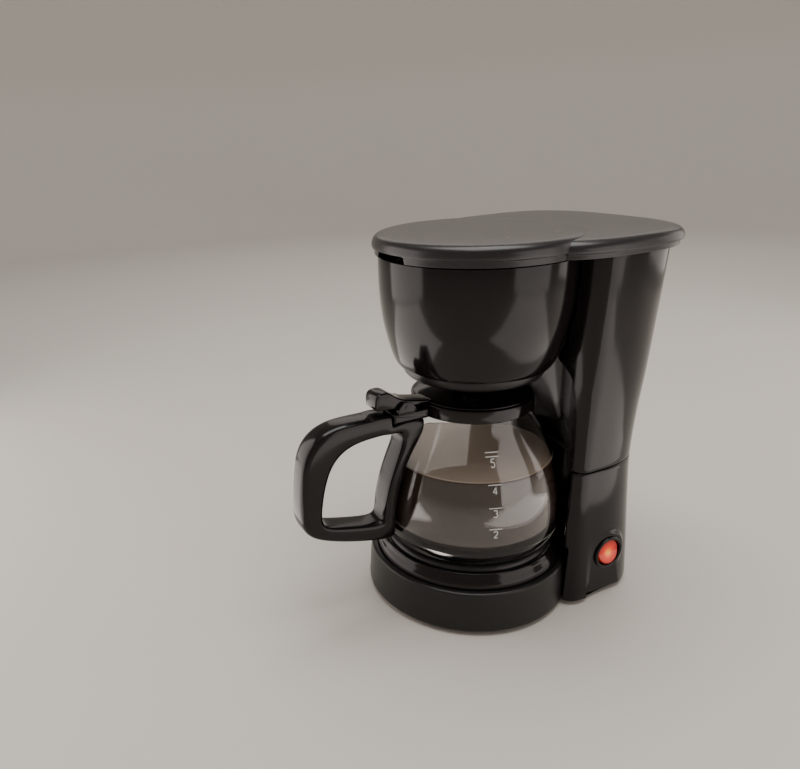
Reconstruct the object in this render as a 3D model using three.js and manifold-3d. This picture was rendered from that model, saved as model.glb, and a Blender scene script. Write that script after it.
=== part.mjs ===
// Five-cup drip coffee maker with a glass carafe, millimetres, +Z up.
// Drawn about the carafe axis: x to the machine's right, y to the back, z = 0 on the worktop.
import * as THREE from 'three';
import { mergeVertices } from 'three/addons/utils/BufferGeometryUtils.js';
import Module from 'manifold-3d';

const wasm = await Module();
wasm.setup();

// ---------------------------------------------------------------- driving dimensions
const GAP = 0.3;                 // clearance between touching pieces
const WALL = 2.6;                // moulded wall
const SHIFT_Y = 4.75;            // moves the carafe axis so the origin is at the box's centre

const FOOT_H = 3.0;
const COVER_Z = [3.3, 5.3];      // bottom cover
const DRUM_R = [72, 70];         // base drum at the bottom and at its shoulder
const DRUM_TOP = 32.3;
const RIM_R = 59.6, RIM_TOP = 42.6;
const PLATE_R = 58.8, PLATE_TOP = 45.3;

const SEAM = 100;                // joint between the lower and upper column halves
const COL_Y = 54;                // centre of the column's plan
const COL_TOP = 244;
const NICHE_R = 69;              // hollow that the carafe stands in
const DRUM_SEAT_R = 72.5;        // hollow that takes the base drum
const ARCH = { half: 59, spring: 150, top: 190 };
const PANEL = { half: 44, spring: 146, top: 167 };

const HEAD_TOP = 243.6;          // top edge of the brew head
const LID_Z = 244.3;             // lower edge of the lid's skirt
const LOBE = { y: 58, a: 75, b: 65, n: 3 };
const HINGE = { y: 121.5, z: 247.2, r: 1.5 };

const NECK_R = 38.2, GLASS_T = 2.4;
const LID_PIN = { y: -57, z: 151.6, r: 1.4 };
const SWITCH = { y: 73, z: 34, face: 65.4 };
const RISER = { x: 20, y: 86, r: 4 };
const INTAKE = { x: -20, y: 86 };

// half-width, front depth and back depth of the column at each height
const COLUMN = [
  [3.4, 68.8, 24.0, 64.0], [34, 66.6, 21.4, 62.1], [68, 64.0, 18.2, 59.8], [100, 62.2, 16.0, 58.0],
  [128, 62.8, 16.3, 58.6], [162, 65.0, 18.0, 60.7], [200, 66.8, 19.8, 62.4], [244, 68.8, 21.4, 64.2],
];

// ---------------------------------------------------------------- materials
const material = (color, roughness, metalness, opacity = 1) => {
  const m = new THREE.MeshStandardMaterial({ color, roughness, metalness });
  if (opacity < 1) Object.assign(m, { transparent: true, opacity });
  return m;
};
const MAT = {
  gloss: material(0x0b0b0c, 0.12, 0),
  satin: material(0x141415, 0.42, 0),
  soft: material(0x1c1c1d, 0.75, 0),
  inner: material(0x2a2a2b, 0.6, 0),
  glass: material(0xdfe8e8, 0.03, 0, 0.35),
  plate: material(0x2b2b2d, 0.45, 0.6),
  steel: material(0xb8b8ba, 0.3, 1),
  alloy: material(0xa7a9ac, 0.5, 1),
  hose: material(0xd9d6cc, 0.6, 0),
  lamp: material(0xd8350f, 0.25, 0),
};

// ---------------------------------------------------------------- geometry helpers
// Welds the vertices, drops empty triangles and turns the faces outwards.
function tidy(geometry) {
  const g = geometry.index ? geometry : mergeVertices(geometry, 1e-5);
  g.deleteAttribute('normal');
  g.deleteAttribute('uv');
  const w = mergeVertices(g, 1e-4);
  const p = w.attributes.position.array, idx = w.index.array, keep = [];
  let volume = 0;
  for (let i = 0; i < idx.length; i += 3) {
    const [a, b, c] = [idx[i], idx[i + 1], idx[i + 2]];
    if (a === b || b === c || a === c) continue;
    keep.push(a, b, c);
    const [x, y, z] = [a, b, c].map((k) => new THREE.Vector3(p[3 * k], p[3 * k + 1], p[3 * k + 2]));
    volume += x.dot(y.cross(z));
  }
  if (volume < 0) for (let i = 0; i < keep.length; i += 3) [keep[i], keep[i + 1]] = [keep[i + 1], keep[i]];
  w.setIndex(keep);
  return w;
}

function solid(geometry) {
  const g = tidy(geometry);
  return new wasm.Manifold(new wasm.Mesh({
    numProp: 3,
    vertProperties: new Float32Array(g.attributes.position.array),
    triVerts: new Uint32Array(g.index.array),
  }));
}

function toGeometry(manifold) {
  const m = manifold.getMesh();
  const g = new THREE.BufferGeometry();
  const pos = new Float32Array(m.numVert * 3);
  for (let i = 0; i < m.numVert; i++) {
    for (let k = 0; k < 3; k++) pos[3 * i + k] = m.vertProperties[i * m.numProp + k];
  }
  g.setAttribute('position', new THREE.BufferAttribute(pos, 3));
  g.setIndex(Array.from(m.triVerts));
  return g;
}

const cut = (body, ...tools) => tools.reduce((b, t) => b.subtract(t), body);
const join = (body, ...others) => others.reduce((b, t) => b.add(t), body);
const moved = (m, x, y, z) => m.translate([x, y, z]);

// Solid of revolution about z from [radius, z] points; the profile closes on itself.
function revolve(profile, segments = 28) {
  const pts = profile.map(([r, z]) => new THREE.Vector2(r, z));
  pts.push(pts[0].clone());
  return solid(new THREE.LatheGeometry(pts, segments).rotateX(Math.PI / 2));
}

const disc = (r, z0, z1, segments = 28) => revolve([[0, z0], [r, z0], [r, z1], [0, z1]], segments);
const hoop = (r0, r1, z0, z1, segments = 28) => revolve([[r0, z0], [r1, z0], [r1, z1], [r0, z1]], segments);

function box(x0, x1, y0, y1, z0, z1) {
  const g = new THREE.BoxGeometry(x1 - x0, y1 - y0, z1 - z0);
  return solid(g.translate((x0 + x1) / 2, (y0 + y1) / 2, (z0 + z1) / 2));
}

// Cylinder along 'x', 'y' or 'z' from a to b through the point c.
function rod(axis, r, a, b, c, segments = 16) {
  const g = new THREE.CylinderGeometry(r, r, b - a, segments).rotateY(Math.PI / segments);
  if (axis === 'x') g.rotateZ(Math.PI / 2).translate((a + b) / 2, c[1], c[2]);
  if (axis === 'y') g.translate(c[0], (a + b) / 2, c[2]);
  if (axis === 'z') g.rotateX(Math.PI / 2).translate(c[0], c[1], (a + b) / 2);
  return solid(g);
}

// Skin through rings of equal point count, closed by a fan at each end.
function loft(rings) {
  const n = rings[0].length, pos = [], idx = [];
  rings.forEach((ring) => ring.forEach((p) => pos.push(...p)));
  for (let r = 0; r < rings.length - 1; r++) {
    for (let i = 0; i < n; i++) {
      const a = r * n + i, b = r * n + (i + 1) % n;
      idx.push(a, b, b + n, a, b + n, a + n);
    }
  }
  [0, rings.length - 1].forEach((r, end) => {
    const mid = [0, 1, 2].map((k) => rings[r].reduce((s, p) => s + p[k], 0) / n);
    const c = pos.length / 3;
    pos.push(...mid);
    for (let i = 0; i < n; i++) {
      const a = r * n + i, b = r * n + (i + 1) % n;
      if (end) idx.push(c, a, b); else idx.push(c, b, a);
    }
  });
  const g = new THREE.BufferGeometry();
  g.setAttribute('position', new THREE.Float32BufferAttribute(pos, 3));
  g.setIndex(idx);
  return solid(g);
}

// Section [across, up] carried along plan points [x, y] at height z.
function planSweep(path, section, z) {
  return loft(path.map(([x, y], i) => {
    const [ax, ay] = path[Math.max(i - 1, 0)], [bx, by] = path[Math.min(i + 1, path.length - 1)];
    const l = Math.hypot(bx - ax, by - ay), nx = (by - ay) / l, ny = -(bx - ax) / l;
    return section.map(([u, v]) => [x + nx * u, y + ny * u, z + v]);
  }));
}

// Round tube, hollow if bore > 0, along a smooth curve through the points.
function tube(points, r, bore = 0, steps = 20, segments = 10) {
  const shape = new THREE.Shape().absarc(0, 0, r, 0, 2 * Math.PI);
  if (bore) shape.holes.push(new THREE.Path().absarc(0, 0, bore, 0, 2 * Math.PI, true));
  const path = new THREE.CatmullRomCurve3(points.map((p) => new THREE.Vector3(...p)), false, 'centripetal');
  return solid(new THREE.ExtrudeGeometry(shape, {
    steps, extrudePath: path, curveSegments: segments / 2, bevelEnabled: false,
  }));
}

// Outline [u, v] in the y-z plane extruded across x by 'width', with rounded long edges.
function sideExtrude(outline, holes, width, bevel) {
  const toPath = (pts, P) => new P(pts.map(([y, z]) => new THREE.Vector2(y, z)));
  const shape = toPath(outline, THREE.Shape);
  holes.forEach((h) => shape.holes.push(toPath(h, THREE.Path)));
  const g = new THREE.ExtrudeGeometry(shape, {
    depth: width - 2 * bevel, bevelEnabled: bevel > 0, bevelThickness: bevel, bevelSize: bevel,
    bevelOffset: -bevel, bevelSegments: 2,
  });
  g.translate(0, 0, -(width - 2 * bevel) / 2);
  // shape x -> y, shape y -> z, extrusion -> x
  g.applyMatrix4(new THREE.Matrix4().set(0, 0, 1, 0, 1, 0, 0, 0, 0, 1, 0, 0, 0, 0, 0, 1));
  return solid(g);
}

// Arch-topped block through the machine along y, for the niche and its panel.
function archBlock({ half, spring, top }, z0, y0, y1) {
  const shape = new THREE.Shape();
  shape.moveTo(-half, z0).lineTo(half, z0).lineTo(half, spring);
  for (let i = 1; i < 10; i++) {
    const t = (Math.PI * i) / 10;
    shape.lineTo(half * Math.cos(t), spring + (top - spring) * Math.sin(t) ** 0.8);
  }
  shape.lineTo(-half, spring).closePath();
  const g = new THREE.ExtrudeGeometry(shape, { depth: y1 - y0, bevelEnabled: false });
  return solid(g.rotateX(Math.PI / 2).translate(0, y1, 0));
}

// ---------------------------------------------------------------- plan shapes
function superellipse(a, bFront, bBack, y, z, nFront, nBack, count = 36) {
  return Array.from({ length: count }, (_, i) => {
    const t = (2 * Math.PI * i) / count, c = Math.cos(t), s = Math.sin(t);
    const [b, n] = s < 0 ? [bFront, nFront] : [bBack, nBack];
    return [a * Math.sign(c) * Math.abs(c) ** (2 / n), y + b * Math.sign(s) * Math.abs(s) ** (2 / n), z];
  });
}

function columnRing(z, inset = 0, height = z) {
  const i = Math.max(1, COLUMN.findIndex((row) => row[0] >= z));
  const [lo, hi] = [COLUMN[i - 1], COLUMN[i]];
  const t = Math.min(1, Math.max(0, (z - lo[0]) / (hi[0] - lo[0])));
  const [a, f, b] = [1, 2, 3].map((k) => lo[k] + t * (hi[k] - lo[k]) - inset);
  return superellipse(a, f, b, COL_Y, height, 3.5, 3);
}

function columnBlock(z0, z1, inset = 0) {
  const levels = [z0, ...COLUMN.map((r) => r[0]).filter((z) => z > z0 + 2 && z < z1 - 2), z1];
  return loft(levels.map((z) => columnRing(z, inset)));
}

const lobeRing = (inset, z) =>
  superellipse(LOBE.a - inset, LOBE.b - inset, LOBE.b - inset, LOBE.y, z, LOBE.n, LOBE.n);

// ---------------------------------------------------------------- assembly
const part = new THREE.Group();
part.name = 'drip_coffee_maker';

function add(name, body, mat) {
  const mesh = new THREE.Mesh(toGeometry(body.translate([0, SHIFT_Y, 0])), mat);
  mesh.name = name;
  part.add(mesh);
}

// ---- base drum, rim, warming plate and heater
function base() {
  const doorway = box(-38, 38, 40, 84, 0, 27);
  const drum = revolve([
    [DRUM_R[0] - WALL, 3.4], [DRUM_R[0], 3.4], [71.3, 14], [DRUM_R[1], 30.4], [69.4, 31.8], [68.4, DRUM_TOP],
    [66, DRUM_TOP], [66, 29.8], [67.3, 29.8],
  ], 32);
  add('drum_shell', cut(drum, doorway), MAT.satin);

  add('rim_ring', revolve([
    [RIM_R, 33], [62, 31], [65.7, 30.2], [65.7, 35], [64.6, 37.6], [63.2, 39.6], [62.5, 42], [61.6, RIM_TOP],
    [60.4, RIM_TOP], [RIM_R, 41],
  ], 32), MAT.gloss);

  add('warming_plate', revolve([
    [0, PLATE_TOP - 1.2], [55.6, PLATE_TOP - 1.2], [57.4, 42.9], [57.6, 40.6], [PLATE_R, 40.6], [58.6, 43.8],
    [56.4, PLATE_TOP], [0, PLATE_TOP],
  ]), MAT.plate);
  add('plate_seal', hoop(56.2, 59.2, 37, 40.3), MAT.hose);

  const arc = Array.from({ length: 21 }, (_, i) => {
    const t = THREE.MathUtils.degToRad(115 + (310 * i) / 20);
    return [38 * Math.cos(t), 38 * Math.sin(t)];
  });
  const path = [[arc[0][0], 40], ...arc, [arc[20][0], 40]];
  add('heating_element', planSweep(path, [[-5, -6], [5, -6], [5, 3.5], [2.6, 6], [-2.6, 6], [-5, 3.5]], 37.5),
    MAT.alloy);
  add('heater_clamp', box(-52, 52, -7, 7, 29, 31.1), MAT.steel);
  add('thermostat', moved(join(disc(7.5, 23, 31, 20), box(-2.5, 2.5, -12, 12, 21.4, 23)), 0, -38, 0), MAT.inner);
  add('thermal_fuse', rod('x', 2, -9, 9, [0, 0, 33.5], 12), MAT.alloy);

  const neck = box(-37.5, 37.5, 50, 80, ...COVER_Z);
  const rear = cut(loft([COVER_Z[0], COVER_Z[1]].map((z) => columnRing(4, 3.3, z))), disc(75.9, 3, 6, 32));
  let cover = join(disc(69, ...COVER_Z, 32), neck, rear);
  [-46, 46].forEach((x) => { cover = join(cover, rod('z', 4.5, 5, 28.7, [x, 0, 0])); });
  SCREWS.forEach(([x, y]) => { cover = cut(cover, rod('z', 2.2, 3, 6, [x, y, 0], 12)); });
  cover = cut(cover, box(62.4, 80, 54, 96, 3, 6));
  for (let i = -3; i <= 3; i++) cover = cut(cover, box(i * 7 - 1.5, i * 7 + 1.5, -22, 22, 3, 6));
  add('base_cover', cover, MAT.satin);

  SCREWS.forEach(([x, y], i) => {
    const head = cut(disc(3.4, 1.4, 3, 10), disc(1.6, 1.3, 2.3, 6));
    add(`cover_screw_${i + 1}`, moved(join(head, disc(1.5, 2.9, 12, 8)), x, y, 0), MAT.steel);
  });
  FEET.forEach(([x, y], i) => {
    add(`foot_${i + 1}`, moved(revolve([[0, 0], [7, 0], [8, 0.8], [8, FOOT_H], [0, FOOT_H]], 16), x, y, 0), MAT.soft);
  });
}
const SCREWS = [[-30, -50], [30, -50], [-30, 100], [30, 100]];
const FEET = [[0, -60], [-50, 22], [50, 22], [-46, 92], [46, 92]];

// ---- lower half of the column: electrics, hoses and the switch
function lowerColumn() {
  let body = cut(columnBlock(3.4, SEAM - GAP),
    disc(DRUM_SEAT_R, 0, 44.2, 40), disc(NICHE_R, 44, 110, 40));
  const room = cut(columnBlock(3.4, 96.8, WALL),
    disc(DRUM_SEAT_R + WALL, 0, 46.8, 32), disc(NICHE_R + WALL, 46.7, 110, 32));
  body = cut(body, room, box(-38, 38, 50, 90, 0, 27), box(SWITCH.face, 90, 56, 94, 0, 58));
  // wall behind the flat facet, then the switch hole, the deck's two hose holes and the cord's outlet
  body = join(body, box(SWITCH.face - WALL, SWITCH.face, 55, 95, 5.6, 57).intersect(columnBlock(3.4, 60)));
  body = cut(body, rod('x', 10.9, 50, 80, [0, SWITCH.y, SWITCH.z], 32),
    rod('z', 4.6, 90, 101, [RISER.x, RISER.y, 0]), rod('z', 4.6, 90, 101, [INTAKE.x, INTAKE.y, 0]),
    rod('y', 5.5, 100, 130, [0, 0, 20]));
  add('lower_housing', body, MAT.gloss);

  add('cord_gland', cut(join(rod('y', 5.1, 106, 118, [0, 0, 20]), rod('y', 7.6, 117.6, 120, [0, 0, 20])),
    rod('y', 3.2, 100, 130, [0, 0, 20])), MAT.soft);

  const f = SWITCH.face;
  const at = [0, SWITCH.y, SWITCH.z];
  add('switch_bezel', cut(join(rod('x', 12.2, f + GAP, f + 1.8, at, 32), rod('x', 10.5, f - 5, f + 0.5, at, 32)),
    rod('x', 9.8, 40, 90, at, 32)), MAT.gloss);
  add('switch_body', join(
    cut(rod('x', 10.4, f - 19, f - 5.3, at, 32), rod('x', 9.4, f - 14, f, at, 32)),
    box(f - 27, f - 18.5, SWITCH.y - 5, SWITCH.y - 4.2, SWITCH.z - 3, SWITCH.z + 3),
    box(f - 27, f - 18.5, SWITCH.y + 4.2, SWITCH.y + 5, SWITCH.z - 3, SWITCH.z + 3)), MAT.inner);
  // rocker: a round button with a shallow V face, stored pressed in at the top
  let rocker = rod('x', 8.8, f - 7, f + 3, at, 32);
  [1, -1].forEach((s) => {
    const wedge = box(0, 20, -15, 15, 0, 30 * s > 0 ? 30 : 0);
    const half = s > 0 ? wedge : box(0, 20, -15, 15, -30, 0);
    rocker = cut(rocker, moved(half.rotate([0, s * 9, 0]), f + 0.2, SWITCH.y, SWITCH.z));
  });
  rocker = moved(moved(rocker, -(f - 4), -SWITCH.y, -SWITCH.z).rotate([0, -8, 0]), f - 4, SWITCH.y, SWITCH.z);
  add('switch_rocker', rocker, MAT.lamp);

  add('check_valve', moved(revolve([
    [2.2, 84], [3.8, 84], [4.2, 86], [3.8, 88], [6.6, 88.2], [6.6, 96.3], [4.1, 96.4], [4.1, 103.6], [2.2, 103.6],
  ], 16), INTAKE.x, INTAKE.y, 0), MAT.inner);
  const hose = (x, end) => tube([[x, 41, 37.5], [x, 44, 37.4], [x, 49, 33.5], [x, 52, 26], [x, 58, 19.2], [x, 68, 17.5],
    [x, 79, 19], [end.x, end.y, 30], [end.x, end.y, 52], [end.x, end.y, end.z]], 5, 3, 16, 8);
  add('inlet_hose', hose(-16.06, { ...INTAKE, z: 83.6 }), MAT.hose);
  add('outlet_hose', hose(16.06, { ...RISER, z: 89.6 }), MAT.hose);
}

// ---- upper half of the column: the water tank and what stands in it
function upperColumn() {
  const head = headOuter(0.5);
  const niche = disc(NICHE_R, 90, 200, 40).intersect(archBlock(ARCH, 90, 0, 90));
  const tank = cut(columnBlock(SEAM + GAP + 3.2, 243.9, WALL).add(loft([columnRing(243, WALL, 243),
    columnRing(243, WALL, 250)])), disc(NICHE_R + WALL, 90, 193, 32), disc(65.9, 192, 260, 32));
  let body = cut(columnBlock(SEAM + GAP, COL_TOP), niche, head, tank);
  body = cut(body, disc(46, 90, 176, 32));
  body = cut(body, rod('z', 4.6, 99, 110, [RISER.x, RISER.y, 0]), rod('z', 4.6, 99, 110, [INTAKE.x, INTAKE.y, 0]));
  // hinge ears behind the back wall
  [-1, 1].forEach((s) => {
    const { y, z } = HINGE;
    const ear = sideExtrude([[112, 235], [y + 1.6, z - 2.4], [y + 3.2, z], [y + 2.2, z + 2.1], [y, z + 2.9],
      [y - 2, z + 2.1], [y - 2.9, z - 0.4], [117.6, 243.4], [112, 242]], [], 5, 0);
    body = join(body, moved(ear, s * 24.8, 0, 0));
  });
  body = cut(body, rod('x', 1.9, -40, 40, [0, HINGE.y, HINGE.z], 16));
  add('upper_housing', body, MAT.gloss);

  add('niche_panel', hoop(NICHE_R - 1.6, NICHE_R - GAP, 101, 168, 40).intersect(archBlock(PANEL, 101.2, 20, 80)),
    MAT.gloss);
  add('riser_tube', moved(hoop(2.8, RISER.r, 90, 244.8, 16), RISER.x, RISER.y, 0), MAT.inner);
  let strainer = moved(revolve([[4.6, 103.9], [9, 103.9], [9, 104.9], [7, 105.4], [6.4, 114], [0, 115.4], [0, 114],
    [5, 112.8], [5.6, 105.2], [4.6, 104.8]], 20), INTAKE.x, INTAKE.y, 0);
  for (let i = 0; i < 3; i++) {
    const slot = box(-10, 10, -1, 1, 106.4, 112).rotate([0, 0, 60 * i]);
    strainer = cut(strainer, moved(slot, INTAKE.x, INTAKE.y, 0));
  }
  add('tank_strainer', strainer, MAT.inner);
}

// ---- brew head, filter basket and drip stop
const HEAD = [[51.4, 172.7], [54.4, 179.5], [57.4, 190], [60.2, 201.6], [62, 216], [62.8, 230], [62.8, HEAD_TOP]];

const headOuter = (grow) => revolve([[0, 160], [47.4 + grow, 160], [49 + grow, 171], ...HEAD.map(([r, z]) =>
  [r + grow, z]), [62.8 + grow, 260], [0, 260]], 32);

function brewHead() {
  const inside = HEAD.slice(0, 5).reverse().map(([r, z]) => [r - WALL, z + 0.6]);
  add('brew_head', revolve([
    [14, 171.2], [49, 171.2], ...HEAD, [60.5, HEAD_TOP], [60.5, 237.6], [58.9, 237.6], [58.9, 228],
    ...inside, [47, 174], [14, 174],
  ], 32), MAT.gloss);

  add('drip_tier', revolve([
    [13, 163.5], [42.8, 163.5], [46.4, 166], [47.3, 170.9], [45, 170.9], [44.4, 167.4], [42.4, 165.8], [13, 165.8],
  ], 32), MAT.satin);

  add('filter_basket', revolve([
    [4.4, 177.2], [12, 177.2], [42, 179.6], [46.5, 182], [51.6, 194], [55.6, 211], [57.8, 238], [60, 238], [60, 240.4],
    [55.8, 240.4], [53.6, 211], [49.6, 194.6], [45, 183.8], [41.4, 181.6], [12, 179.2], [4.4, 179.2],
  ]), MAT.satin);

  const bail = planSweep(Array.from({ length: 19 }, (_, i) => {
    const t = Math.PI + (Math.PI * i) / 18;
    return [52.6 * Math.cos(t), 52.6 * Math.sin(t)];
  }), Array.from({ length: 6 }, (_, i) => [1.3 * Math.cos((i * Math.PI) / 3), 1.3 * Math.sin((i * Math.PI) / 3)]),
  236.4);
  add('basket_bail', join(bail, rod('x', 1.3, -55.2, -52, [0, 0, 236.4], 8), rod('x', 1.3, 52, 55.2, [0, 0, 236.4], 8)),
    MAT.steel);

  add('drip_valve', revolve([
    [0, 158.4], [7.6, 158.4], [8.6, 159.4], [8.6, 161.4], [3.6, 161.4], [3.6, 179.5], [7.4, 179.6], [7.4, 181.2],
    [0, 182.6],
  ], 20), MAT.inner);
  const turns = 4, steps = 40;
  const coil = Array.from({ length: steps + 1 }, (_, i) => {
    const t = (2 * Math.PI * turns * i) / steps;
    return [5.6 * Math.cos(t), 5.6 * Math.sin(t), 162.4 + (13.8 * i) / steps];
  });
  add('valve_spring', tube(coil, 0.6, 0, steps, 6), MAT.steel);
}

// ---- lid over the brew head and the tank
function lid() {
  const front = revolve([[0, LID_Z], [64.8, LID_Z], [64.9, 248.4], [66.4, 248.8], [66.7, 251.4], [65.4, 254.6], [62.6, 256.5],
    [40, 257.3], [0, 257.8]], 36);
  const frontRoom = revolve([[0, 240], [62.4, 240], [62.4, 251.4], [0, 253.6]], 36);
  const rings = [[2, LID_Z], [1.9, 247.4], [0.3, 247.8], [0, 250.4], [1.4, 253], [4.4, 254.8], [30, 255.9]];
  const back = loft(rings.map(([inset, z]) => lobeRing(inset, z)));
  const backRoom = loft([[4.4, 240], [4.4, 250.2], [6.4, 252.4]].map(([inset, z]) => lobeRing(inset, z)));
  let body = cut(join(front, back), frontRoom, backRoom);
  // finger slot in the front of the skirt, and room for the hinge ears
  body = cut(body, box(-15, 15, -80, -50, 240, 249), box(-30, 30, 112, 130, 240, 251));
  [-1, 1].forEach((s) => {
    const knuckle = join(rod('x', 3, s > 0 ? 12 : -21.8, s > 0 ? 21.8 : -12, [0, HINGE.y - 1, HINGE.z]),
      box(s > 0 ? 12 : -21.8, s > 0 ? 21.8 : -12, HINGE.y - 4, HINGE.y + 1.2, HINGE.z, 252.6));
    body = join(body, knuckle);
  });
  body = cut(body, rod('x', 1.9, -40, 40, [0, HINGE.y, HINGE.z], 16));
  add('lid', body, MAT.gloss);
  add('lid_hinge_pin', rod('x', HINGE.r, -27.2, 27.2, [0, HINGE.y, HINGE.z], 12), MAT.steel);

  let shower = join(disc(24, 245.4, 251.6, 32), box(-8, 28, 0, 96, 245.4, 251.6));
  shower = cut(shower, disc(21.8, 247.4, 260, 32), box(-5.8, 25.8, 10, 93.8, 247.4, 260),
    rod('z', 5.4, 240, 250, [RISER.x, RISER.y, 0]));
  for (let i = 0; i < 8; i++) {
    const t = (Math.PI * i) / 4;
    shower = cut(shower, rod('z', 1.3, 240, 250, [15 * Math.cos(t), 15 * Math.sin(t), 0], 8));
  }
  add('shower_head', shower, MAT.inner);
}

// ---- carafe: glass, neck band, handle and its hinged lid
const GLASS = [[54, 45.6], [59, 48.2], [62.6, 55], [64.1, 62], [64, 72], [62.9, 82], [60.4, 94], [56.9, 105.5],
  [52.4, 115.3], [46.6, 125], [41.4, 133.4], [NECK_R, 140.6], [NECK_R, 146]];

function carafe() {
  const inner = GLASS.slice(2).reverse().map(([r, z], i) => [r - GLASS_T, i ? z + 0.7 : z]);
  add('carafe_glass', revolve([[0, 48.4], [44, 47.6], [50.4, 45.6], ...GLASS, ...inner, [54, 48.8], [44, 50.2], [0, 50.8]],
    32), MAT.glass);

  let band = join(hoop(NECK_R + 0.4, 41.2, 141.2, 150, 32), box(-9.8, 9.8, -66.6, -40, 141.2, 148));
  [-1, 1].forEach((s) => {
    const ear = sideExtrude([[-64, 147], [-50, 147], [-50, 150.6], [-54.4, 155.4], [-59.6, 155.4], [-64, 150.6]], [], 2.4, 0);
    band = join(band, moved(ear, s * 8.6, 0, 0));
  });
  band = cut(band, disc(NECK_R + 0.4, 140, 160, 32), rod('x', 1.8, -20, 20, [0, LID_PIN.y, LID_PIN.z]));
  add('carafe_band', band, MAT.gloss);

  const outer = [[-67, 148], [-98, 148.8], [-110, 147.6], [-120, 143.4], [-127.4, 135.5], [-131.4, 124], [-133.4, 108],
    [-134.2, 92], [-133.2, 82], [-129, 75], [-120, 69.6], [-104, 63.8], [-88, 59.6], [-74, 57], [-66.4, 57]];
  const glassSide = [[-65, 60], [-65.2, 67], [-64.9, 74], [-64, 81.4], [-62.4, 90], [-60.4, 97.6], [-57.7, 106],
    [-54.2, 114], [-50.8, 120], [-47.4, 125.5], [-44.4, 130.6], [-42.6, 134.2], [-42.2, 140.6], [-67, 140.6]];
  const loop = [[-61.5, 134.4], [-74, 134.8], [-92, 133.6], [-103, 129.2], [-111, 120.5], [-116, 107], [-118.8, 92],
    [-119.2, 83], [-114, 78.2], [-98, 74.4], [-82, 71.2], [-75.4, 71.6], [-73.4, 76], [-72.6, 86], [-69.6, 99],
    [-65, 112], [-60.4, 123], [-59, 130]];
  add('carafe_handle', sideExtrude([...outer, ...glassSide], [loop.slice().reverse()], 19, 2.5), MAT.gloss);

  let top = revolve([[6, 152.2], [13, 152.6], [13.2, 156.2], [15, 156.2], [16, 153], [37.6, 151.8], [39.8, 151.2], [39.8, 150.4], [35.2, 150.4], [35, 144.4],
    [33.2, 144.4], [33.2, 149.6], [6, 150.6]], 32);
  const arm = sideExtrude([[-36, 150.5], [-36, 152], [-50, 154.4], [-57, 155.2], [-66, 156.6], [-84, 163.4], [-85.2, 161],
    [-72, 154.4], [-64, 150.8], [-60.4, 148.6], [-54, 148.6], [-50, 150.5]], [], 14.2, 0);
  top = cut(join(top, arm), rod('x', 1.8, -20, 20, [0, LID_PIN.y, LID_PIN.z]));
  add('carafe_lid', top, MAT.gloss);
  add('carafe_lid_pin', rod('x', LID_PIN.r, -10.2, 10.2, [0, LID_PIN.y, LID_PIN.z], 12), MAT.steel);
}

base();
lowerColumn();
upperColumn();
brewHead();
lid();
carafe();

export default part;
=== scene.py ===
"""Drip coffee maker: finished surfaces, materials, light and camera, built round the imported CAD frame."""
import math

import bmesh
import bpy
import numpy as np
from bpy.props import FloatProperty, FloatVectorProperty, PointerProperty
from mathutils import Matrix, Vector


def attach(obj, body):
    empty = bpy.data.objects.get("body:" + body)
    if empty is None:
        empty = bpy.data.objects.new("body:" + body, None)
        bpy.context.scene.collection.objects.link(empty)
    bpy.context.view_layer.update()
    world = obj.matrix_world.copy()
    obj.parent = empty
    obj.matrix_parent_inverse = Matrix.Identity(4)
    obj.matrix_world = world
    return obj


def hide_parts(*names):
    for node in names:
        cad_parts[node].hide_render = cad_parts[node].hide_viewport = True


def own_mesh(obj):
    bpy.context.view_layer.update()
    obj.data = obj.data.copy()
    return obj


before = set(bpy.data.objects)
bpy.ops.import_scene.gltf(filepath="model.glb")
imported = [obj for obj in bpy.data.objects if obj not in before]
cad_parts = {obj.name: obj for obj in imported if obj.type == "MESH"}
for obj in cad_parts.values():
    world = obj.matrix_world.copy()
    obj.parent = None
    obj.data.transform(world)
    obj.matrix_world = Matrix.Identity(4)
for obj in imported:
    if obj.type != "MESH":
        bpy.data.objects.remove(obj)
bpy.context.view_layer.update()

bl_info = {
    "name": "Drip coffee maker",
    "version": (1, 0, 0),
    "blender": (4, 5, 0),
    "location": "View3D > Sidebar > Coffee maker",
    "description": "Builds a five-cup drip coffee maker round its CAD frame",
    "category": "Object",
}

MM = 0.001
AXIS_Y = 4.75          # the carafe's axis in the frame, mm behind the origin
COL_Y = 54.0           # centre of the column's plan, mm behind the carafe's axis
SWITCH_Y, SWITCH_Z, FACE_X = 73.0, 34.0, 65.4
HINGE_Y, HINGE_Z = 121.5, 247.2
DRUM_R, NICHE_R = 72.5, 69.0     # the column's front is hollowed to these, round the drum and above it
WALL = 2.6                       # thickness of the tank's wall
ARCH = (53.0, 156.0, 184.0)      # the niche's half-width, the height where its arch springs, and its top
PANEL = (44.0, 146.0, 166.9)     # the same of the niche panel
LOBE_A, LOBE_B, LOBE_Y = 75.0, 65.0, 58.0    # half-width, half-depth and centre of the lid's rear lobe
GRIP_Y, GRIP_Z = -90.0, 105.0    # centre that the grip's section turns about
MAT = {}                         # materials by finish, filled once

# camera: place in mm about the carafe's axis, yaw, pitch and roll, then focal length and centre in its frame
CAMERA = ((366.08, -274.85, 319.38), (1.1704, 0.3903, -0.0552), 695.0, (311.6, 416.3))
FRAME_W, FRAME_H = 800, 769
CAMERA_SIDE = 53       # degrees from the front towards the switch
WARM = (1.0, 0.90, 0.86)

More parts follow.
